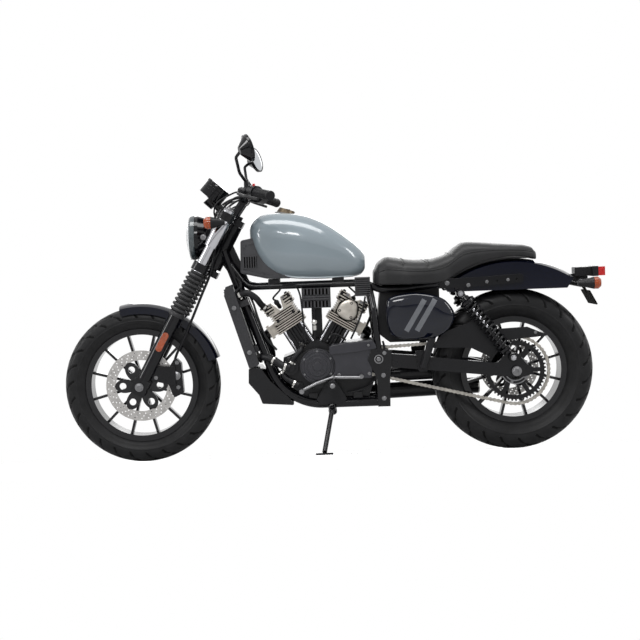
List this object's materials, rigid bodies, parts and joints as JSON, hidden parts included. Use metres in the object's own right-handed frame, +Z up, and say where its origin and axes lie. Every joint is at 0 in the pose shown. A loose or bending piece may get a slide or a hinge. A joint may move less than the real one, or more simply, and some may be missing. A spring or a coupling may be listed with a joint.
{
  "type": "cruiser motorcycle",
  "caption": "V-twin cruiser motorcycle with a teardrop tank, two-level seat, gaitered fork, round headlight, rear chain drive and a side stand it leans on.",
  "frame": {"origin": "floor level under the centre of the parked machine's outline box", "axes": "+X forward along the machine, +Y to the rider's left, +Z up from the floor; the machine leans 8 degrees to its left on the side stand"},
  "size_m": [2.0849, 0.8211, 1.2523],
  "materials": {
    "tyre": "matt rubber",
    "black_alloy": "gloss black",
    "disc_steel": "brushed",
    "chain_steel": "oiled steel",
    "satin_black": "satin",
    "gloss_black": "gloss",
    "chrome": "polished",
    "black_rubber": "matt",
    "black_plastic": "fine grain",
    "clear_lens": "clear",
    "amber_lens": "translucent amber",
    "red_lens": "translucent red",
    "gloss_navy": "high gloss, near black blue",
    "engine_black": "satin, cast",
    "cast_silver": "cast",
    "radiator_black": "matt",
    "grey_paint": "gloss blue grey",
    "seat_black": "grained"
  },
  "bodies": {
    "root": {"airbox": "black_plastic", "barrel_studs": "chrome", "barrels": "engine_black", "chain": "chain_steel", "chain_guard": "satin_black", "chin_fairing": "black_plastic", "crankcase": "engine_black", "cylinder_heads": "cast_silver", "electrics_box": "black_plastic", "engine_covers": "engine_black", "exhaust_headers": "satin_black", "fender_struts": "satin_black", "foot_controls": "satin_black", "footpegs": "black_rubber", "frame_cradle": "satin_black", "frame_neck": "satin_black", "frame_rails": "satin_black", "plate_bracket": "satin_black", "radiator": "radiator_black", "rear_amber_lenses": "amber_lens", "rear_caliper": "satin_black", "rear_fender": "gloss_navy", "rear_lamps": "black_plastic", "seat": "seat_black", "shocks": "satin_black", "side_covers": "gloss_navy", "silencers": "satin_black", "swingarm": "satin_black", "tail_lens": "red_lens", "tank": "grey_paint", "tank_cap": "black_plastic", "tank_cover": "black_plastic"},
    "steering": {"fork_tubes": "chrome", "fork_legs": "satin_black", "fork_gaiters": "black_rubber", "triple_clamps": "satin_black", "handlebar": "satin_black", "grips": "black_rubber", "hand_controls": "black_plastic", "mirrors": "black_plastic", "headlight": "gloss_black", "headlight_rim": "grey_paint", "headlight_lens": "clear_lens", "instrument": "black_plastic", "front_signals": "black_plastic", "front_amber_lenses": "amber_lens", "front_fender": "gloss_navy", "front_caliper": "satin_black", "brake_hose": "black_rubber"},
    "front_wheel": {"front_tyre": "tyre", "front_rim": "black_alloy", "front_disc": "disc_steel"},
    "rear_wheel": {"rear_tyre": "tyre", "rear_rim": "black_alloy", "rear_disc": "disc_steel", "rear_sprocket": "black_alloy"},
    "side_stand": {"side_stand": "satin_black"}
  },
  "joints": [
    {"name": "steering", "type": "hinge", "parent": "root", "child": "steering", "pos_m": [0.41763, -0.02455, 0.7975], "axis": [-0.4848, 0.1217, 0.8661], "range_deg": [-35, 35]},
    {"name": "front_wheel_spin", "type": "hinge", "parent": "steering", "child": "front_wheel", "pos_m": [0.7435, -0.09489, 0.29704], "axis": [0, 0.9903, -0.1392], "continuous": true},
    {"name": "rear_wheel_spin", "type": "hinge", "parent": "root", "child": "rear_wheel", "pos_m": [-0.6815, -0.09336, 0.30793], "axis": [0, 0.9903, -0.1392], "continuous": true},
    {"name": "side_stand_fold", "type": "hinge", "parent": "root", "child": "side_stand", "pos_m": [0.0185, 0.01301, 0.17382], "axis": [0.1063, 0.8288, 0.5494], "range_deg": [0, 80]}
  ]
}
